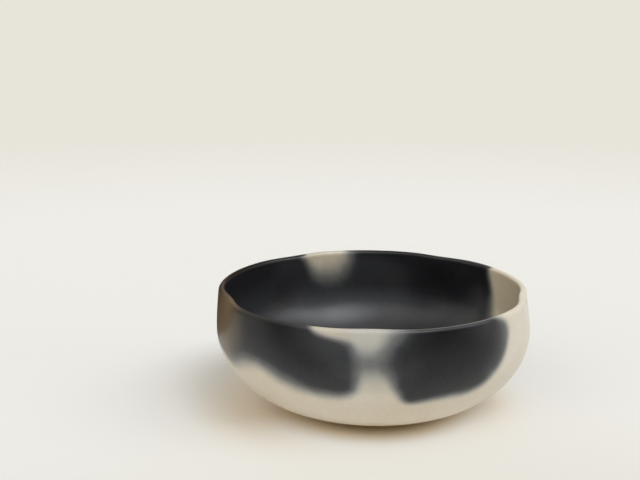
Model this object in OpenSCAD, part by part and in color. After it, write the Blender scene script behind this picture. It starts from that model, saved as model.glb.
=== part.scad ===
// Sweets bowl of burnished pottery: a full belly, a lip pinched in at five places, and a low foot ring.
// It stands on z = 0 with the axis of its belly on the Z axis. Its front looks along -Y.

/* [Bowl] */
// Greatest diameter, at the belly
belly_d = 200; // [180:1:220]
// Height of the widest line of the belly
belly_z = 55; // [45:1:60]
// Height of the lip
bowl_h = 79; // [72:1:95]
// Outer diameter of the lip between its pinches
lip_d = 197.8; // [180:0.2:200]
// Thickness of the wall at the belly
wall_t = 6; // [4:0.5:9]
// Thickness of the floor
floor_t = 7; // [4:0.5:12]
// Diameter of the level middle of the floor
floor_d = 56; // [30:1:80]

/* [Lip] */
// Thickness of the lip
lip_t = 4.6; // [3:0.2:8]
// Height over which the lip rounds off
lip_round = 2; // [1:0.1:4]
// How far a pinch draws the lip in
pinch_depth = 2.7; // [0:0.1:5]
// Width of a pinch at half its depth, measured round the lip
pinch_w = 28; // [12:1:40]
// How far below the lip a pinch fades out
pinch_reach = 24; // [12:1:40]

/* [Foot] */
// Outer diameter of the foot ring
foot_d = 78; // [60:1:100]
// Height of the foot ring
foot_h = 5.5; // [3:0.5:10]
// Width of the foot ring
foot_w = 7; // [5:0.5:12]
// Radius of the two edges that the foot ring stands on
foot_round = 1.6; // [0.4:0.2:2.4]
// Level margin of the underside around the foot ring
foot_margin = 1; // [0.5:0.5:5]

/* [Hidden] */

// Directions of the pinches, anticlockwise from +X, spaced by hand and not quite evenly
pinch_azimuths = [-10, 59, 127, 201, 270];

belly_r = belly_d / 2;
lip_r = lip_d / 2;
foot_r = foot_d / 2;
seat_r = foot_r + foot_margin;
inner_belly_r = belly_r - wall_t;
inner_lip_r = lip_r - lip_t;
floor_r = floor_d / 2;
floor_z = foot_h + floor_t;
lip_side_z = bowl_h - lip_round;

// Facets: round the bowl, along each quarter of the belly, along each side of the neck, and over the lip
around = 96;
belly_steps = 13;
neck_steps = 5;
lip_steps = 8;
// Facets of a round edge of the foot ring
edge_steps = 32;

// Quarter ellipse from a level disc of radius r at height z out to the belly line at belly_at
function belly_curve(r, z, belly_at) = [
    for (i = [0:belly_steps])
    let (a = 90 * i / belly_steps)
    [r + (belly_at - r) * sin(a), belly_z - (belly_z - z) * cos(a)]
];

// Arc that draws in from the belly line at belly_at to the side of the lip at lip_at
function neck_curve(belly_at, lip_at) = [
    for (i = [1:neck_steps])
    let (s = i / neck_steps)
    [belly_at - (belly_at - lip_at) * s * s, belly_z + (lip_side_z - belly_z) * s]
];

// Half ellipse over the lip, from its outer side to its inner side
function lip_curve() = [
    for (i = [1:lip_steps - 1])
    let (a = 180 * i / lip_steps)
    [inner_lip_r + lip_t / 2 * (1 + cos(a)), lip_side_z + lip_round * sin(a)]
];

function reversed(list) = [for (i = [len(list) - 1:-1:0]) list[i]];
function sum(list) = list * [for (x = list) 1];

// Section of the wall, from the underside over the lip to the floor
section = concat(
    belly_curve(seat_r, foot_h, belly_r),
    neck_curve(belly_r, lip_r),
    lip_curve(),
    reversed(neck_curve(inner_belly_r, inner_lip_r)),
    reversed(belly_curve(floor_r, floor_z, inner_belly_r))
);

// Smallest turn, in degrees, between two directions
function turn(a, b) = ((a - b) % 360 + 540) % 360 - 180;

// Share of a full pinch at a direction: each pinch is a bell curve that is half as deep at half its width
function pinch(az) = sum([
    for (p = pinch_azimuths)
    let (half_widths = turn(az, p) * PI / 180 * lip_r / (pinch_w / 2))
    pow(2, -half_widths * half_widths)
]);

// Share of a pinch that is left at a height: all of it at the lip, none at the foot of its reach
function reach(z) =
    let (s = max(0, min(1, 1 - (bowl_h - z) / pinch_reach)))
    s * s * (3 - 2 * s);

// Point of the bowl at a point of the section, turned to a direction and pinched
function bowl_point(p, az) =
    let (r = p[0] - pinch_depth * reach(p[1]) * pinch(az))
    [r * cos(az), r * sin(az), p[1]];

// Index of the point at a step round the bowl, on a ring of the section
function at(ring, step) = ring * around + step % around;

module bowl_body() {
    rings = len(section);
    points = [for (p = section) for (k = [0:around - 1]) bowl_point(p, 360 * k / around)];
    underside = [for (k = [0:around - 1]) at(0, k)];
    inside_floor = [for (k = [around - 1:-1:0]) at(rings - 1, k)];
    wall = [
        for (j = [0:rings - 2]) for (k = [0:around - 1])
        each [
            [at(j, k), at(j + 1, k), at(j + 1, k + 1)],
            [at(j, k), at(j + 1, k + 1), at(j, k + 1)]
        ]
    ];
    color([0.85, 0.81, 0.73])
    polyhedron(points, concat([underside, inside_floor], wall));
}

// Half section of the foot ring: square shoulders against the bowl, round edges on the table
module foot_section() {
    inner_r = foot_r - foot_w;
    translate([inner_r, foot_round])
    square([foot_w, foot_h - foot_round]);
    translate([inner_r + foot_round, 0])
    square([foot_w - 2 * foot_round, foot_h]);
    for (r = [inner_r + foot_round, foot_r - foot_round])
    translate([r, foot_round])
    circle(foot_round, $fn = edge_steps);
}

module foot_ring() {
    color([0.78, 0.72, 0.62])
    rotate_extrude($fn = around)
    foot_section();
}

bowl_body();
foot_ring();
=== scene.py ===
"""Sweets bowl of burnished clay: the shell as a fine mesh with its smoke clouds, on a plain pale table."""

import math

import bpy
import numpy as np
from mathutils import Matrix, Vector


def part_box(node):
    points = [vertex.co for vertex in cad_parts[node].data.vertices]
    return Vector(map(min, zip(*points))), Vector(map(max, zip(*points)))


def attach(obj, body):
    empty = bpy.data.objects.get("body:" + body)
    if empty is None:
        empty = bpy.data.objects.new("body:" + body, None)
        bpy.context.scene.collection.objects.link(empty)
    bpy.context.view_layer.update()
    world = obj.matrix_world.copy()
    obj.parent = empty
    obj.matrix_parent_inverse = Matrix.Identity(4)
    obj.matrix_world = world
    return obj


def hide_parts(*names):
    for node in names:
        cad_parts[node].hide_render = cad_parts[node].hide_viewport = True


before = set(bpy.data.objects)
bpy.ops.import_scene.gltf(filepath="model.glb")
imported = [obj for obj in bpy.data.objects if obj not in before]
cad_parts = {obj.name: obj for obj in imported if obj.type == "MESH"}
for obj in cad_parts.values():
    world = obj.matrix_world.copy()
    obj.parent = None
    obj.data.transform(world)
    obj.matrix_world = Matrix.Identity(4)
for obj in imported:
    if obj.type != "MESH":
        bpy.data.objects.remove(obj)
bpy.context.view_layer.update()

# Sizes of the bowl, in mm, as the solid has them
MM = 0.001
bowl_low, bowl_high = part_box("bowl_body")
BELLY_R = bowl_high.x / MM
BELLY_Z = 55.0
BOWL_H = bowl_high.z / MM
FOOT_H = bowl_low.z / MM
LIP_R = 98.9
LIP_T = 4.6
LIP_ROUND = 2.0
LIP_SIDE_Z = BOWL_H - LIP_ROUND
WALL_T = 6.0
FLOOR_T = 7.0
FLOOR_Z = FOOT_H + FLOOR_T
FLOOR_R = 28.0
SEAT_R = 40.0
# Pinches of its lip: directions in degrees, then depth, width and reach
PINCHES = (-10, 59, 127, 201, 270)
PINCH_DEPTH = 2.7
PINCH_W = 28.0
PINCH_REACH = 24.0

# Fineness of the mesh: steps round the bowl, spacing in mm along the wall and over the lip,
# how far down the lip's spacing goes, and over how many mm it blends into the wall's
AROUND = 400
WALL_SPACING = 1.35
LIP_SPACING = 0.42
LIP_ZONE = 5.0
LIP_BLEND = 2.0
# Radius in mm of the innermost rings, on the underside and on the floor
POLE_R = 5.0
# Points along each arc of the section, and the short steps in mm that all of it is then cut into
QUARTER_STEPS, NECK_STEPS, LIP_STEPS = 200, 80, 60
SHORT = 0.1
# How far the section is rounded where its arcs meet, in mm, and how many short steps each way are weighed
EASE = 0.7
EASE_STEPS = 30

# Hand-made unevenness: how far the surface wanders, in mm, and how far above the foot it has its full size
WANDER = 0.28
WANDER_SETS_IN = 26.0
# How far from the innermost rings it has its full size, in mm
WANDER_POLE = 24.0
# Its waves: share, number round the bowl, climb in mm for one radian, and start.
# The last one also swells along the climb.
WAVES = ((0.5, 2, 23.0, 1.1), (0.3, 5, -31.0, 0.4), (0.2, 9, 14.0, 2.3))
SWELL = 9.0

# Camera: image width and focal length in pixels, sensor in mm, nearest and furthest it sees in metres,
# where it stands in mm, and how it is turned
IMAGE_W = 640
FOCAL = 1000.0
SENSOR_W = 36.0
CLIP_NEAR, CLIP_FAR = 0.01, 50.0
CAMERA_BACK = 620.4
CAMERA_UP = 246.7
CAMERA_PITCH = math.radians(12.59)
CAMERA_PAN = math.radians(-3.13)
CAMERA_ROLL = math.radians(0.14)


def smooth_step(t):
    t = np.clip(t, 0.0, 1.0)
    return t * t * (3.0 - 2.0 * t)


def turn(az, start):
    """Turn from one direction to others, in degrees from -180 to 180."""
    return (az - start + 180.0) % 360.0 - 180.0


def put(name, data):
    """New object of the scene."""
    made = bpy.data.objects.new(name, data)
    bpy.context.scene.collection.objects.link(made)
    return made


# Shape of the clay shell

def quarter(r, z, belly_at):
    """Quarter ellipse from a level disc of radius r at height z out to the belly line."""
    a = np.linspace(0.0, math.pi / 2, QUARTER_STEPS)
    return np.stack([r + (belly_at - r) * np.sin(a), BELLY_Z - (BELLY_Z - z) * np.cos(a)], -1)


def neck(belly_at, lip_at):
    """Arc that draws in from the belly line to the side of the lip."""
    s = np.linspace(0.0, 1.0, NECK_STEPS)
    return np.stack([belly_at - (belly_at - lip_at) * s * s, BELLY_Z + (LIP_SIDE_Z - BELLY_Z) * s], -1)


def lip():
    """Half ellipse over the lip, from outside to inside."""
    a = np.linspace(0.0, math.pi, LIP_STEPS)
    return np.stack([LIP_R - LIP_T / 2 * (1 - np.cos(a)), LIP_SIDE_Z + LIP_ROUND * np.sin(a)], -1)


def along(points):
    """Distance along a line of points."""
    return np.concatenate([[0.0], np.cumsum(np.linalg.norm(np.diff(points, axis=0), axis=1))])


def section():
    """Rings of the shell, from the underside over the lip to the floor: radius, height and climb of each.
    Climb counts the height up the outside, and goes on over the lip and down the inside."""
    line = np.concatenate([
        [[POLE_R, FOOT_H]],
        quarter(SEAT_R, FOOT_H, BELLY_R),
        neck(BELLY_R, LIP_R)[1:],
        lip()[1:],
        neck(BELLY_R - WALL_T, LIP_R - LIP_T)[::-1][1:],
        quarter(FLOOR_R, FLOOR_Z, BELLY_R - WALL_T)[::-1][1:],
        [[POLE_R, FLOOR_Z]],
    ])
    far = along(line)
    short = np.stack([np.interp(np.arange(0.0, far[-1], SHORT), far, line[:, k]) for k in range(2)], -1)
    weights = np.exp(-0.5 * (np.arange(-EASE_STEPS, EASE_STEPS + 1) * SHORT / EASE) ** 2)
    for k in range(2):
        short[EASE_STEPS:-EASE_STEPS, k] = np.convolve(short[:, k], weights / weights.sum(), "valid")
    r, z = short[:, 0], short[:, 1]
    z[:] = FOOT_H + (z - FOOT_H) * (BOWL_H - FOOT_H) / (z.max() - FOOT_H)
    steps = np.arange(len(z))
    crest = int(np.argmax(z))
    over = along(short)
    climb = np.where(steps <= crest, z, BOWL_H + over - over[crest])
    near_lip = smooth_step((z - (BOWL_H - LIP_ZONE - LIP_BLEND)) / LIP_BLEND)
    stations = np.cumsum(SHORT / (WALL_SPACING + (LIP_SPACING - WALL_SPACING) * near_lip))
    picks = np.interp(np.linspace(stations[0], stations[-1], int(stations[-1])), stations, steps)
    return np.stack([np.interp(picks, steps, values) for values in (r, z, climb)], -1)


def pinch(az):
    """Share of a full pinch at each direction, in degrees."""
    total = np.zeros_like(az)
    for p in PINCHES:
        arc = np.radians(turn(az, p)) * LIP_R
        total += 2.0 ** -((arc / (PINCH_W / 2)) ** 2)
    return total


def wander(az, climb):
    """Slow unevenness of a surface that was pressed and scraped by hand."""
    a = np.radians(az)
    waves = [share * np.sin(number * a + climb / length + start) for share, number, length, start in WAVES]
    waves[-1] = waves[-1] * np.sin(climb / SWELL)
    return WANDER * sum(waves) * smooth_step((climb - FOOT_H) / WANDER_SETS_IN)


def shell_points(rings, az):
    """Points of the shell, rings by directions, in mm."""
    tangent = np.gradient(rings[:, :2], axis=0)
    tangent /= np.linalg.norm(tangent, axis=1)[:, None]
    normal = np.stack([tangent[:, 1], -tangent[:, 0]], -1)
    az_grid, climb = np.meshgrid(az, rings[:, 2])
    push = wander(az_grid, climb) * smooth_step((rings[:, 0, None] - POLE_R) / WANDER_POLE)
    r, z = [rings[:, k, None] + push * normal[:, k, None] for k in range(2)]
    reach = smooth_step(1 - (BOWL_H - rings[:, 1]) / PINCH_REACH)
    r = r - PINCH_DEPTH * reach[:, None] * pinch(az)[None]
    a = np.radians(az)[None]
    return np.stack([r * np.cos(a), r * np.sin(a), z], -1)


# Smoke clouds: closed outlines of (direction in degrees, climb in mm, width of the soft edge in mm).
# Directions go anticlockwise from +X, and 270 is the front.

CLOUD_FRONT_LEFT = [
    (222, 96, 8), (240, 96, 6), (248.8, 80, 5), (252, 76.2, 5), (256.5, 74.3, 5), (260.4, 73, 6),
    (263.3, 70.6, 8), (264.4, 64.4, 11), (265, 57, 12.5), (265.2, 52, 12), (264.9, 47.6, 11),
    (263.8, 43.4, 10), (260.2, 40.6, 10.5), (254.5, 40.5, 12), (250, 41.2, 12), (246, 42.6, 15),
    (242, 44.6, 16), (238, 46.6, 16), (234, 49.4, 16), (230, 51.2, 14), (226, 51.4, 16), (221, 50, 18),
    (215, 46, 18), (210.5, 44.5, 16), (206, 46, 12), (202, 48.5, 9), (198.5, 53, 10), (197, 63, 14),
    (197, 75, 14), (200, 87, 12), (208, 95, 12),
]
CLOUD_FRONT_RIGHT = [
    (287, 96, 10), (281, 82, 19), (278.2, 76, 22), (276.3, 71.5, 21), (275.5, 67, 21), (275.4, 62.5, 20),
    (276, 57, 17), (276.8, 51.5, 13), (277.7, 46.6, 10), (279.1, 42.6, 9), (280.5, 38.6, 7.5),
    (283, 36.2, 6.8), (287, 36.5, 7.5), (292, 37.6, 8.2), (298, 38.3, 9), (303, 38.4, 9),
    (307.4, 39.8, 9), (311.4, 42.4, 9), (315.2, 46.8, 7.5), (318.1, 51.4, 7), (320.5, 57.4, 7),
    (321.9, 63.6, 7), (322.3, 69.5, 7), (321.1, 74.5, 7), (318.4, 78, 6.5), (314, 81, 5), (307, 85, 5),
    (298, 96, 6),
]
CLOUD_BACK_RIGHT = [
    (41, 96, 8), (33.5, 84, 6), (32, 74, 8), (32.5, 64, 9), (35.5, 54, 10), (41, 46, 11), (49, 41, 12),
    (58, 39, 13), (67, 40.5, 13), (76, 44, 14), (85, 46, 14), (93, 49.5, 15), (98, 56, 16),
    (99.5, 66, 17), (99.5, 76, 17), (99, 86, 15), (94, 96, 12),
]
CLOUD_BACK_LEFT = [
    (130, 96, 8), (122.5, 84, 7), (122, 74, 8), (123.5, 64, 10), (127, 55, 11), (133, 47.5, 12),
    (141, 42, 12), (150, 40, 13), (159, 41.5, 14), (168, 45.5, 15), (177, 48.5, 16), (188, 48.6, 12),
    (197, 48.4, 9), (204, 48.4, 9), (207.4, 55, 15), (207.5, 66, 18), (206.6, 78, 16), (196, 96, 12),
]
# Outside clouds, with the share by which each is thinner at its edge, and how far in that reaches, in mm
CLOUDS = (
    (CLOUD_FRONT_LEFT, 0.16), (CLOUD_FRONT_RIGHT, 0.12), (CLOUD_BACK_RIGHT, 0.16), (CLOUD_BACK_LEFT, 0.16),
)
RIM_W = 20.0
# Thin smoke that joins the two front clouds: its height, half its width and its strength,
# and the directions it spans, with how softly it ends
BRIDGE_Z, BRIDGE_HALF, BRIDGE_STRENGTH = 61.0, 6.2, 0.435
BRIDGE_FROM, BRIDGE_TO, BRIDGE_SOFT = 256.0, 286.0, 8.0
# Haze around that bridge, and outside the right end of the front clouds, with their strengths
HAZE_BRIDGE = [
    (260.8, 85, 16), (265.4, 86, 14), (271, 86, 12), (279, 84, 14), (283, 66, 16), (282, 52, 16),
    (276, 46.5, 16), (268, 46.5, 16), (262, 52, 16), (261.4, 64, 14), (261.4, 71, 14), (260.8, 75, 16),
]
HAZE_END = [
    (319, 79, 6), (322.8, 74.5, 9), (324.2, 69.5, 11), (324.1, 63.6, 11), (323, 57.4, 11),
    (320.7, 51.4, 10), (317.7, 46.5, 10), (313.5, 41.8, 9), (306, 46, 12), (312, 60, 12), (312, 74, 8),
]
HAZES = ((HAZE_BRIDGE, 0.17), (HAZE_END, 0.06))
# Parts of the front clouds that are thinner, with the share: at the bridge, at the upper right corner
# of the left one, and at the right end of the right one
THIN_BRIDGE = [
    (256, 70, 14), (264, 72, 12), (272, 70, 14), (280, 69, 14), (286, 64, 16), (286, 55, 16),
    (280, 49, 14), (272, 50, 14), (264, 48, 14), (256, 50, 16), (252, 58, 18),
]
THIN_CORNER = [
    (252, 76, 8), (258, 74, 9), (263, 71.5, 9), (267, 64, 12), (265, 56, 14), (260, 55, 14),
    (256, 62, 14), (251, 70, 12),
]
THIN_END = [
    (317, 79, 9), (318, 75, 18), (318.4, 69.5, 23), (318.6, 63.6, 23), (318, 57.4, 22), (315.6, 51.4, 21),
    (312.8, 47.2, 18), (318, 40, 16), (328, 54, 20), (330, 68, 20), (325, 80, 12),
]
THIN_OUTSIDE = ((THIN_BRIDGE, 0.05), (THIN_CORNER, 0.07), (THIN_END, 0.42))
# Cream that the smoke leaves on the inside
CREAM_BACK = [
    (127, 66, 7), (124.6, 80, 7), (122, 84, 10), (120.2, 88, 12), (118.4, 92, 16), (115, 96.6, 24),
    (109.5, 97.8, 32), (105, 96.2, 30), (102, 90.2, 24), (100.2, 84, 19), (99.6, 66, 18),
]
CREAM_RIGHT = [
    (-46, 66, 6), (-43, 80, 5), (-39, 84, 6), (-36, 91, 9), (-33, 102, 10), (-27, 112, 12),
    (-16, 118, 14), (0, 122, 14), (14, 122, 13), (23, 120, 16), (28, 114, 15), (29.7, 108, 15),
    (30.2, 102, 14), (30.3, 97, 12), (31.3, 92, 10.5), (32.4, 87, 10.5), (33.2, 82, 8.5), (33.9, 66, 6),
]
CREAM_FRONT = [
    (245, 66, 8), (247.5, 82, 8), (251.5, 88, 9), (256, 94, 12), (264, 98, 14), (272, 97, 14),
    (278, 91, 14), (281, 84, 14), (282.5, 66, 14),
]
# Parts of the inside where the smoke is a little thinner: at the back below the cream, right and left
THIN_BACK = [
    (133, 82, 16), (130, 110, 24), (126, 140, 30), (106, 150, 30), (76, 140, 30), (73, 110, 24),
    (83, 86, 14),
]
THIN_RIGHT = [
    (39, 98, 16), (45, 112, 24), (46, 132, 30), (38, 142, 30), (27, 136, 24), (27, 112, 16),
    (33, 100, 16),
]
THIN_LEFT = [
    (226, 82, 8), (214, 83, 8), (196, 87, 12), (176, 95, 16), (158, 98, 18), (144, 97, 18), (137, 98, 20),
    (134, 124, 30), (146, 148, 30), (190, 150, 30), (216, 140, 30), (228, 110, 20),
]
# The share of the smoke that is missing in each of these
THIN_INSIDE = (
    (CREAM_BACK, 0.88), (CREAM_RIGHT, 1.0), (CREAM_FRONT, 1.0),
    (THIN_BACK, 0.14), (THIN_RIGHT, 0.24), (THIN_LEFT, 0.12),
)
# Where the smoke of the inside begins, just below the crest of the lip, and how softly
INSIDE_FROM = 78.6
INSIDE_SOFT = 2.0
# Where the outside clouds end on the lip, whose crest is paler, partly from wear and partly as a painted
# highlight, and how softly
OUTSIDE_TO = 78.4
OUTSIDE_SOFT = 2.0
# How much further both reach over the lip, in mm, by direction: its pale crest is narrowest at the back,
# and widest at the right front
REACH = [
    (0, 0), (30, 1.6), (150, 1.6), (180, 0), (210, 0), (225, 0.6), (242, 0.8), (250, 0.4), (258, 0),
    (276, 0), (290, -0.1), (310, -0.1), (322, 0), (360, 0),
]
# Brown on the thin smoke between two clouds on the left side, partly its own tint and partly a painted
# reflection of brown wood beside the bowl, and its share from patch to patch
TINGE_AND_REFLECTION_SIDE = [
    (209, 44, 12), (203, 49, 16), (197.5, 55, 24), (194.5, 63, 32), (194, 72, 34), (196, 81, 28),
    (201, 87, 20), (207, 91, 18), (212.6, 84, 22), (214.6, 76, 27), (215.6, 68, 29), (215.2, 60, 29),
    (213, 52, 24), (211.4, 46, 16),
]
TINGE_LEAST, TINGE_MOST = 0.80, 1.0
# Faint painted shade, in the same brown, on the cream below the front lip
BELOW_LIP_SHADE = [
    (247.5, 83, 8), (254, 85, 10), (259.4, 84, 14), (262.6, 78, 16), (261.4, 70, 14), (256, 70, 10),
    (249, 76, 8),
]
BELOW_LIP_SHADE_STRENGTH = 0.36
# Points of the curve for each point of an outline
SPLINE_STEPS = 7


def rounded(outline):
    """Closed curve through the points of an outline."""
    p = np.array(outline, float)
    before, after, after_next = np.roll(p, 1, 0), np.roll(p, -1, 0), np.roll(p, -2, 0)
    square = 2 * before - 5 * p + 4 * after - after_next
    cube = 3 * p - before - 3 * after + after_next
    parts = []
    for t in np.arange(SPLINE_STEPS) / SPLINE_STEPS:
        parts.append(0.5 * (2 * p + (after - before) * t + square * t ** 2 + cube * t ** 3))
    return np.stack(parts, 1).reshape(-1, 3)


def coverage(outline, az, climb, rim=0.0):
    """How far each point lies inside an outline: 0 to 1 across its soft edge, less a share at its rim."""
    curve = rounded(outline)
    middle = curve[:, 0].mean()
    scale = math.radians(1) * LIP_R
    cx, cy, soft = (curve[:, 0] - middle) * scale, curve[:, 1], curve[:, 2]
    x, y = turn(az, middle) * scale, climb
    margin = soft.max()
    out = np.zeros_like(x)
    near = (x > cx.min() - margin) & (x < cx.max() + margin)
    near &= (y > cy.min() - margin) & (y < cy.max() + margin)
    px, py = x[near], y[near]
    best = np.full(px.shape, np.inf)
    width = np.ones_like(px)
    inside = np.zeros(px.shape, bool)
    for i in range(len(cx)):
        j = (i + 1) % len(cx)
        ex, ey = cx[j] - cx[i], cy[j] - cy[i]
        t = np.clip(((px - cx[i]) * ex + (py - cy[i]) * ey) / (ex * ex + ey * ey), 0.0, 1.0)
        d = np.hypot(px - cx[i] - t * ex, py - cy[i] - t * ey)
        closer = d < best
        best = np.where(closer, d, best)
        width = np.where(closer, soft[i] + t * (soft[j] - soft[i]), width)
        if cy[i] != cy[j]:
            crosses = (cy[i] > py) != (cy[j] > py)
            inside ^= crosses & (px < cx[i] + (py - cy[i]) * ex / ey)
    signed = np.where(inside, best, -best)
    out[near] = smooth_step(0.5 + signed / width) * (1 - rim * (1 - smooth_step(signed / RIM_W)))
    return out


def thinned(density, parts, az, climb):
    """Density less the share that is missing in each of some outlines."""
    for outline, share in parts:
        density = density * (1 - share * coverage(outline, az, climb))
    return density


def smoke(az, climb):
    """Density of the smoke, from 0 to 1, and share of brown: tint and painted reflection at the left,
    painted shade below the lip.
    """
    # The lip's pale crest is partly wear and partly a painted highlight
    reach = np.interp(az, *zip(*REACH))
    inside = smooth_step((climb - INSIDE_FROM + reach) / INSIDE_SOFT)
    clear = 1 - thinned(inside, THIN_INSIDE, az, climb)
    outside = 1 - smooth_step((climb - OUTSIDE_TO - reach) / OUTSIDE_SOFT)
    for cloud, rim in CLOUDS:
        clear = clear * (1 - outside * coverage(cloud, az, climb, rim))
    span = smooth_step((az - BRIDGE_FROM) / BRIDGE_SOFT) * smooth_step((BRIDGE_TO - az) / BRIDGE_SOFT)
    clear = clear * (1 - BRIDGE_STRENGTH * span * 2.0 ** -((climb - BRIDGE_Z) / BRIDGE_HALF) ** 2)
    clear = thinned(clear, HAZES, az, climb)
    dense = thinned(1 - clear, THIN_OUTSIDE, az, climb)
    # Painted shade, in brown, below the front lip
    below_lip_shade = BELOW_LIP_SHADE_STRENGTH * clear * coverage(BELOW_LIP_SHADE, az, climb)
    return dense, np.maximum(coverage(TINGE_AND_REFLECTION_SIDE, az, climb), below_lip_shade)


def make_shell():
    """The clay shell: rings of quads, and a fan round the middle of the underside and of the floor."""
    rings = section()
    az = np.arange(AROUND) * 360.0 / AROUND
    points = shell_points(rings, az)
    az_grid, climb = np.meshgrid(az, rings[:, 2])
    dense, brown_shade_and_reflection = smoke(az_grid, climb)
    middles = [[0, 0, FOOT_H], [0, 0, points[-1, :, 2].mean()]]
    verts = np.concatenate([points.reshape(-1, 3), middles]) * MM
    last = (len(rings) - 1) * AROUND
    j, k = np.meshgrid(np.arange(0, last, AROUND), np.arange(AROUND), indexing="ij")
    k1 = (k + 1) % AROUND
    quads = np.stack([j + k, j + k1, j + AROUND + k1, j + AROUND + k], -1).reshape(-1, 4)
    under, floor = last + AROUND, last + AROUND + 1
    pairs = [(a, (a + 1) % AROUND) for a in range(AROUND)]
    fans = [(under, b, a) for a, b in pairs] + [(floor, last + a, last + b) for a, b in pairs]
    mesh = bpy.data.meshes.new("clay_shell")
    mesh.from_pydata(verts.tolist(), [], quads.tolist() + fans)
    mesh.polygons.foreach_set("use_smooth", [True] * len(mesh.polygons))
    for name, values in (("smoke", dense), ("brown_shade_and_reflection", brown_shade_and_reflection), ("climb", climb)):
        ends = [values[0, 0], values[-1, 0]]
        layer = mesh.attributes.new(name, "FLOAT", "POINT")
        layer.data.foreach_set("value", np.concatenate([values.ravel(), ends]).astype(np.float32))
    mesh.update()
    return put("clay_shell", mesh)


# Materials

def opaque(colour):
    return (*colour, 1.0)


def add(tree, kind, inputs=None, **settings):
    """New node: settings are its own, and inputs are values or sockets by name or number."""
    made = tree.nodes.new(kind)
    for name, value in settings.items():
        setattr(made, name, value)
    for name, value in (inputs or {}).items():
        if isinstance(value, bpy.types.NodeSocket):
            tree.links.new(value, made.inputs[name])
        else:
            made.inputs[name].default_value = value
    return made


def calc(tree, operation, a, b=0.0, clamp=False):
    return add(tree, "ShaderNodeMath", {0: a, 1: b}, operation=operation, use_clamp=clamp).outputs[0]


def inverse(tree, value):
    return calc(tree, "SUBTRACT", 1.0, value)


def measure(tree, operation, a, b=(0.0, 0.0, 0.0)):
    return add(tree, "ShaderNodeVectorMath", {0: a, 1: b}, operation=operation).outputs["Value"]


def blend(tree, factor, a, b, mode="MIX"):
    made = add(tree, "ShaderNodeMix", {0: factor, 6: a, 7: b}, data_type="RGBA", blend_type=mode)
    return made.outputs[2]


def grey(tree, value):
    return add(tree, "ShaderNodeCombineColor", {0: value, 1: value, 2: value}).outputs[0]


def noise(tree, where, scale, detail, rough):
    inputs = {"Vector": where, "Scale": scale, "Detail": detail, "Roughness": rough}
    return add(tree, "ShaderNodeTexNoise", inputs).outputs["Fac"]


def spread(tree, value, low, high, to_low=0.0, to_high=1.0):
    made = add(tree, "ShaderNodeMapRange", {0: value, 1: low, 2: high, 3: to_low, 4: to_high})
    return made.outputs[0]


def fade(tree, value, low, high):
    made = add(tree, "ShaderNodeMapRange", {0: value, 1: low, 2: high}, interpolation_type="SMOOTHSTEP")
    return made.outputs[0]


def ramp(tree, value, stops):
    made = add(tree, "ShaderNodeValToRGB", {0: value})
    elements = made.color_ramp.elements
    while len(elements) < len(stops):
        elements.new(0.5)
    for element, (stop, colour) in zip(elements, stops):
        element.position = stop
        element.color = opaque(colour)
    return made.outputs[0]


def bump(tree, height, strength, distance, over=None):
    """Normal with a relief, over another one where that is given."""
    inputs = {"Strength": strength, "Distance": distance, "Height": height}
    if over is not None:
        inputs["Normal"] = over
    return add(tree, "ShaderNodeBump", inputs).outputs[0]


def attribute(tree, name):
    return add(tree, "ShaderNodeAttribute", attribute_name=name).outputs["Fac"]


def position(tree):
    return add(tree, "ShaderNodeTexCoord").outputs["Object"]


def new_tree(name):
    """New material with an empty tree."""
    made = bpy.data.materials.new(name)
    made.use_nodes = True
    made.node_tree.nodes.clear()
    return made, made.node_tree


def new_material(name):
    made, tree = new_tree(name)
    shader = add(tree, "ShaderNodeBsdfPrincipled")
    add(tree, "ShaderNodeOutputMaterial", {0: shader.outputs[0]})
    return made, tree, shader


# Cream of the slip, its paler and warmer patches, and the share of the plain cream in them
CREAM = (0.672, 0.604, 0.492)
CREAM_PALE = (0.702, 0.648, 0.553)
CREAM_WARM = (0.655, 0.572, 0.442)
CREAM_SHARE = 0.5
# Tint of the cream inside, partly its own and partly painted warm bounce light, and the climb over which
# it sets in
INSIDE_TINT_AND_BOUNCE = (1.12, 1.06, 0.92)
TINT_FROM, TINT_TO = 79.0, 83.0
# Smoke goes from cream over a cool grey to nothing, by its density, and leaves soot in its dense parts
SMOKE_DEPTH = [
    (0.0, (1.0, 1.0, 1.0)), (0.2, (0.66, 0.695, 0.745)), (0.35, (0.43, 0.47, 0.53)),
    (0.5, (0.235, 0.262, 0.315)), (0.78, (0.052, 0.061, 0.080)), (1.0, (0.0, 0.0, 0.0)),
]
NO_SOOT = (0.0, 0.0, 0.0)
SOOT = (0.0092, 0.0087, 0.0106)
SOOT_PALE = (0.0158, 0.0152, 0.0178)
SOOT_POWER = 3.0
# Painted shade: share by which the soot is darker on the outside towards the lip, in place of a darker
# reflection there, and where that sets in and ends
TOP_SHADE = 0.45
TOP_SHADE_FROM, TOP_SHADE_FULL, TOP_SHADE_TO, TOP_SHADE_END = 55.0, 73.0, 79.0, 84.0
# Brown of the tint and painted reflection on the left side, and of the painted shade below the front lip
BROWN = (0.154, 0.114, 0.070)
# Noise of the burnished clay: scale, detail and roughness. The rubbed one lies in streaks round the bowl
GRAIN = (1500.0, 2.0, 0.5)
PATCHES = (28.0, 4.0, 0.5)
FLECKS = (430.0, 3.0, 0.6)
DRIFT = (150.0, 4.0, 0.55)
RUBBED = (190.0, 4.0, 0.6)
STREAKS = (1.0, 1.0, 7.0)
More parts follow.
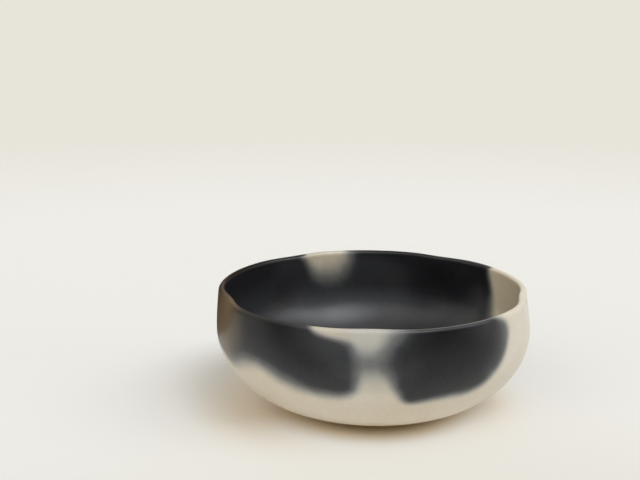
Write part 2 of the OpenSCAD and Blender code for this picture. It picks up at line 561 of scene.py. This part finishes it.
# What the noise does: from and to which of its values, and the least and the most that comes of it
PATCH_SPAN = (0.38, 0.62)
EDGE_DRIFT, EDGE_GRAIN = (0.3, 0.7, -0.10, 0.10), (0.3, 0.7, -0.05, 0.05)
CREAM_GRAIN, CREAM_FLECKS = (0.2, 0.8, -0.06, 0.06), (0.25, 0.75, 0.96, 1.03)
SOOT_GRAIN, SOOT_FLECKS = (0.35, 0.75, -0.1, 0.6), (0.3, 0.7, -0.2, 0.7)
SATIN = (0.3, 0.7, 0.285, 0.335)
SPECULAR = 0.33
# Relief: strength, and depth in metres
RUBBED_BUMP = (0.05, 0.0003)
GRAIN_BUMP = (0.03, 0.0002)


def burnished_clay():
    """Cream slip, rubbed to a satin, and blackened by smoke where the clouds are, with painted shade,
    reflection and bounce light in places.
    """
    made, tree, shader = new_material("burnished_clay")
    where = position(tree)
    grain, patches, flecks, drift = [noise(tree, where, *kind) for kind in (GRAIN, PATCHES, FLECKS, DRIFT)]
    streaks = add(tree, "ShaderNodeMapping", {0: where, "Scale": STREAKS}).outputs[0]
    rubbed = noise(tree, streaks, *RUBBED)
    climb = attribute(tree, "climb")

    # The soft edges of the smoke are a little uneven
    dense = attribute(tree, "smoke")
    edge = calc(tree, "MULTIPLY", dense, inverse(tree, dense))
    uneven = calc(tree, "ADD", spread(tree, drift, *EDGE_DRIFT), spread(tree, grain, *EDGE_GRAIN))
    mottled = calc(tree, "ADD", dense, calc(tree, "MULTIPLY", edge, uneven), clamp=True)

    cream = blend(tree, spread(tree, patches, *PATCH_SPAN), opaque(CREAM_PALE), opaque(CREAM_WARM))
    cream = blend(tree, CREAM_SHARE, cream, opaque(CREAM))
    fine = calc(tree, "ADD", spread(tree, grain, *CREAM_GRAIN), spread(tree, flecks, *CREAM_FLECKS))
    cream = blend(tree, 1.0, cream, grey(tree, fine), "MULTIPLY")
    # Inside, the cream takes a tint that is partly its own and partly painted warm bounce light
    within = calc(tree, "MULTIPLY", spread(tree, climb, TINT_FROM, TINT_TO), inverse(tree, mottled))
    cream = blend(tree, within, cream, blend(tree, 1.0, cream, opaque(INSIDE_TINT_AND_BOUNCE), "MULTIPLY"))
    smoked = blend(tree, 1.0, cream, ramp(tree, mottled, SMOKE_DEPTH), "MULTIPLY")

    specks = [spread(tree, grain, *SOOT_GRAIN), spread(tree, flecks, *SOOT_FLECKS)]
    soot = blend(tree, calc(tree, "ADD", *specks, clamp=True), opaque(SOOT), opaque(SOOT_PALE))
    # Painted shade: the soot is darker on the outside towards the lip
    rise = spread(tree, climb, TOP_SHADE_FROM, TOP_SHADE_FULL)
    fall = spread(tree, climb, TOP_SHADE_TO, TOP_SHADE_END, TOP_SHADE, 0.0)
    shown = inverse(tree, calc(tree, "MULTIPLY", rise, fall))
    shown = calc(tree, "MULTIPLY", calc(tree, "POWER", mottled, SOOT_POWER), shown)
    smoked = blend(tree, 1.0, smoked, blend(tree, shown, opaque(NO_SOOT), soot), "ADD")
    # Brown: a tint and painted reflection on the left side, painted shade below the front lip
    brown_shade_and_reflection = spread(tree, patches, *PATCH_SPAN, TINGE_LEAST, TINGE_MOST)
    brown_shade_and_reflection = calc(tree, "MULTIPLY", attribute(tree, "brown_shade_and_reflection"), brown_shade_and_reflection)
    tree.links.new(blend(tree, brown_shade_and_reflection, smoked, opaque(BROWN)), shader.inputs["Base Color"])

    tree.links.new(spread(tree, rubbed, *SATIN), shader.inputs["Roughness"])
    shader.inputs["Specular IOR Level"].default_value = SPECULAR
    relief = bump(tree, grain, *GRAIN_BUMP, over=bump(tree, rubbed, *RUBBED_BUMP))
    tree.links.new(relief, shader.inputs["Normal"])
    return made


# Bare clay: its noise, the tones of its patches, how its grit shades them, and its relief, as above
GRIT = (1300.0, 3.0, 0.65)
BARE_PATCHES = (60.0, 4.0, 0.5)
BARE_TONES = [(0.35, (0.60, 0.525, 0.415)), (0.65, (0.68, 0.61, 0.50))]
BARE_GRIT = (0.25, 0.75, 0.86, 1.06)
GRIT_BUMP = (0.35, 0.0005)
# Roughness of what is matt: the foot ring and the table
MATT = 0.8


def bare_clay():
    """The foot ring: the same clay, wiped and left matt."""
    made, tree, shader = new_material("bare_clay")
    where = position(tree)
    grit = noise(tree, where, *GRIT)
    tones = ramp(tree, noise(tree, where, *BARE_PATCHES), BARE_TONES)
    colour = blend(tree, 1.0, tones, grey(tree, spread(tree, grit, *BARE_GRIT)), "MULTIPLY")
    tree.links.new(colour, shader.inputs["Base Color"])
    shader.inputs["Roughness"].default_value = MATT
    tree.links.new(bump(tree, grit, *GRIT_BUMP), shader.inputs["Normal"])
    return made


# Studio. Its lengths are in metres

BACKDROP = (0.80, 0.775, 0.705)
# Light of the world on the scene. What is seen of the world is the backdrop
SKY, SKY_STRENGTH = (1.0, 0.96, 0.88), 0.24
# Lamps: name, azimuth and elevation in degrees, strength, width in degrees and colour
COOL, WARM = (0.95, 0.98, 1.03), (1.0, 0.985, 0.95)
LAMPS = (
    ("window_left", -60.0, 59.0, 0.95, 34.0, COOL),
    ("window_right", -30.0, 58.0, 0.91, 34.0, COOL),
    ("side", -6.0, 40.0, 0.48, 26.0, COOL),
    ("fill", -132.0, 42.0, 0.86, 60.0, WARM),
    ("fill_left", -172.0, 35.0, 0.14, 60.0, WARM),
)
TABLE = (0.845, 0.835, 0.795)
TABLE_R = 6.0
TABLE_STEPS = 96
# The table is warmer round a point a little to the left of the bowl's middle: painted warm bounce light
TABLE_BOUNCE = (0.85, 0.67, 0.42)
BOUNCE_CENTRE = (-0.009, 0.0, 0.0)
BOUNCE_FROM, BOUNCE_TO = 0.05, 0.122
# It turns softly into the backdrop far from the bowl
FADE_FROM, FADE_TO = 0.35, 1.6
# Round the foot the table glows with a share of the backdrop, painted light that eases the shadow, the
# more the nearer to the side that the light comes from. It goes by the cosine of the angle to that side.
SHADE_FROM, SHADE_TO = 0.042, 0.079
SHADE_LEAST, SHADE_MOST = 0.2, 0.92
LIGHT_SIDE = (0.208, -0.978, 0.0)
FACING_LEAST, FACING_MOST = 0.1, 1.0
# Close to the foot that share is brown: a painted brown in the shadow
SHADE_BROWN = (0.86, 0.715, 0.49)
BROWN_FROM, BROWN_TO = 0.05, 0.069
# Cards that glow and show in gloss only, as painted reflections. One bends round the front of the bowl:
# distance, height, the directions it spans, its facets, its light by the share of its height, and where it
# begins to clear towards its top.
FRONT_R, FRONT_H = 0.42, 0.54
FRONT_FROM, FRONT_TO = -160.0, -20.0
FRONT_STEPS = 32
FRONT_LIGHT = [
    (0.0, (0.04, 0.04, 0.04)), (0.12, (0.05, 0.05, 0.05)),
    (0.30, (0.29, 0.32, 0.36)), (0.65, (0.50, 0.55, 0.62)),
]
FRONT_CLEARS = 0.43
# One stands behind the bowl's left side, a painted reflection of brown wood: how far back, height, ends,
# width of its soft edges, and light.
SIDE_Y, SIDE_H = 0.108, 0.22
SIDE_FROM, SIDE_TO = -0.62, 0.06
SIDE_CLEARS = 0.08
SIDE_LIGHT = (0.20, 0.122, 0.055)


def seen(tree):
    """1 for what the camera or a reflection sees."""
    path = add(tree, "ShaderNodeLightPath").outputs
    return calc(tree, "ADD", path["Is Camera Ray"], path["Is Glossy Ray"], clamp=True)


def make_floor():
    turns = np.arange(TABLE_STEPS) * 2 * math.pi / TABLE_STEPS
    ring = [(TABLE_R * math.cos(t), TABLE_R * math.sin(t), 0.0) for t in turns]
    mesh = bpy.data.meshes.new("table")
    mesh.from_pydata(ring, [], [list(range(TABLE_STEPS))])
    table = put("table", mesh)
    made, tree, shader = new_material("table")
    shader.inputs["Roughness"].default_value = MATT
    where = position(tree)
    away = measure(tree, "LENGTH", where)
    # Painted warm bounce light on the table round the bowl
    bounce = fade(tree, measure(tree, "DISTANCE", where, BOUNCE_CENTRE), BOUNCE_FROM, BOUNCE_TO)
    tree.links.new(blend(tree, bounce, opaque(TABLE_BOUNCE), opaque(TABLE)), shader.inputs["Base Color"])
    facing = calc(tree, "DIVIDE", measure(tree, "DOT_PRODUCT", where, LIGHT_SIDE), away)
    share = spread(tree, fade(tree, facing, FACING_LEAST, FACING_MOST), 0.0, 1.0, SHADE_LEAST, SHADE_MOST)
    eased = calc(tree, "MULTIPLY", fade(tree, away, SHADE_FROM, SHADE_TO), share)
    shows = calc(tree, "MAXIMUM", fade(tree, away, FADE_FROM, FADE_TO), eased)
    shows = calc(tree, "MULTIPLY", shows, seen(tree))
    tone = blend(tree, fade(tree, away, BROWN_FROM, BROWN_TO), opaque(SHADE_BROWN), opaque(BACKDROP))
    glow = add(tree, "ShaderNodeEmission", {"Color": tone}).outputs[0]
    both = add(tree, "ShaderNodeMixShader", {0: shows, 1: shader.outputs[0], 2: glow})
    tree.links.new(both.outputs[0], tree.nodes["Material Output"].inputs[0])
    mesh.materials.append(made)


def make_card(name, foot_line, height):
    """Upright card over a line on the table: its material's tree, and the inputs for light and share."""
    verts = [(x, y, z) for x, y in foot_line for z in (0.0, height)]
    faces = [(2 * i, 2 * i + 2, 2 * i + 3, 2 * i + 1) for i in range(len(foot_line) - 1)]
    mesh = bpy.data.meshes.new(name)
    mesh.from_pydata(verts, [], faces)
    card = put(name, mesh)
    card.visible_camera = False
    card.visible_diffuse = False
    card.visible_shadow = False
    made, tree = new_tree(name)
    glow = add(tree, "ShaderNodeEmission")
    none = add(tree, "ShaderNodeBsdfTransparent")
    both = add(tree, "ShaderNodeMixShader", {1: none.outputs[0], 2: glow.outputs[0]})
    add(tree, "ShaderNodeOutputMaterial", {0: both.outputs[0]})
    mesh.materials.append(made)
    return tree, glow.inputs["Color"], both.inputs[0]


def coordinates(tree):
    """X, Y and Z of a point."""
    return add(tree, "ShaderNodeSeparateXYZ", {0: position(tree)}).outputs


def make_front_card():
    turns = np.radians(np.linspace(FRONT_FROM, FRONT_TO, FRONT_STEPS + 1))
    foot_line = [(FRONT_R * math.cos(t), FRONT_R * math.sin(t)) for t in turns]
    tree, light, share = make_card("front_card", foot_line, FRONT_H)
    z = coordinates(tree)["Z"]
    tree.links.new(ramp(tree, spread(tree, z, 0.0, FRONT_H), FRONT_LIGHT), light)
    tree.links.new(inverse(tree, fade(tree, z, FRONT_CLEARS, FRONT_H)), share)


def make_side_card():
    tree, light, share = make_card("side_card", [(SIDE_FROM, SIDE_Y), (SIDE_TO, SIDE_Y)], SIDE_H)
    light.default_value = opaque(SIDE_LIGHT)
    at = coordinates(tree)
    shows = fade(tree, at["X"], SIDE_FROM, SIDE_FROM + SIDE_CLEARS)
    for level, end in ((at["X"], SIDE_TO), (at["Z"], SIDE_H)):
        shows = calc(tree, "MULTIPLY", shows, inverse(tree, fade(tree, level, end - SIDE_CLEARS, end)))
    tree.links.new(shows, share)


def make_sun(name, azimuth, elevation, strength, width, colour):
    """Lamp that shines from a direction, in degrees, on everything alike."""
    data = bpy.data.lights.new(name, "SUN")
    data.energy = strength
    data.angle = math.radians(width)
    data.color = colour
    a, e = math.radians(azimuth), math.radians(elevation)
    towards = Vector((math.cos(e) * math.cos(a), math.cos(e) * math.sin(a), math.sin(e)))
    put(name, data).rotation_euler = towards.to_track_quat("Z", "Y").to_euler()


def make_world():
    world = bpy.data.worlds.new("studio")
    world.use_nodes = True
    tree = world.node_tree
    light = tree.nodes["Background"]
    light.inputs["Color"].default_value = opaque(SKY)
    light.inputs["Strength"].default_value = SKY_STRENGTH
    wall = add(tree, "ShaderNodeBackground", {"Color": opaque(BACKDROP)}).outputs[0]
    both = add(tree, "ShaderNodeMixShader", {0: seen(tree), 1: light.outputs[0], 2: wall})
    tree.links.new(both.outputs[0], tree.nodes["World Output"].inputs[0])
    bpy.context.scene.world = world


def make_camera():
    data = bpy.data.cameras.new("camera")
    data.sensor_fit = "HORIZONTAL"
    data.sensor_width = SENSOR_W
    data.lens = FOCAL / IMAGE_W * SENSOR_W
    data.clip_start, data.clip_end = CLIP_NEAR, CLIP_FAR
    camera = put("camera", data)
    level = Vector((math.cos(CAMERA_PAN), -math.sin(CAMERA_PAN), 0.0))
    ahead = Vector((math.sin(CAMERA_PAN), math.cos(CAMERA_PAN), 0.0))
    forward = ahead * math.cos(CAMERA_PITCH) - Vector((0.0, 0.0, math.sin(CAMERA_PITCH)))
    upright = level.cross(forward)
    right = level * math.cos(CAMERA_ROLL) + upright * math.sin(CAMERA_ROLL)
    up = upright * math.cos(CAMERA_ROLL) - level * math.sin(CAMERA_ROLL)
    turned = Matrix((right, up, -forward)).transposed().to_4x4()
    camera.matrix_world = Matrix.Translation(Vector((0, -CAMERA_BACK, CAMERA_UP)) * MM) @ turned
    bpy.context.scene.camera = camera


make_camera()
make_world()
make_floor()
for lamp in LAMPS:
    make_sun(*lamp)
make_front_card()
make_side_card()

shell = make_shell()
shell.data.materials.append(burnished_clay())
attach(shell, "root")
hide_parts("bowl_body")

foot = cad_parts["foot_ring"]
foot.material_slots[0].material = bare_clay()

bpy.context.scene.view_settings.view_transform = "Standard"
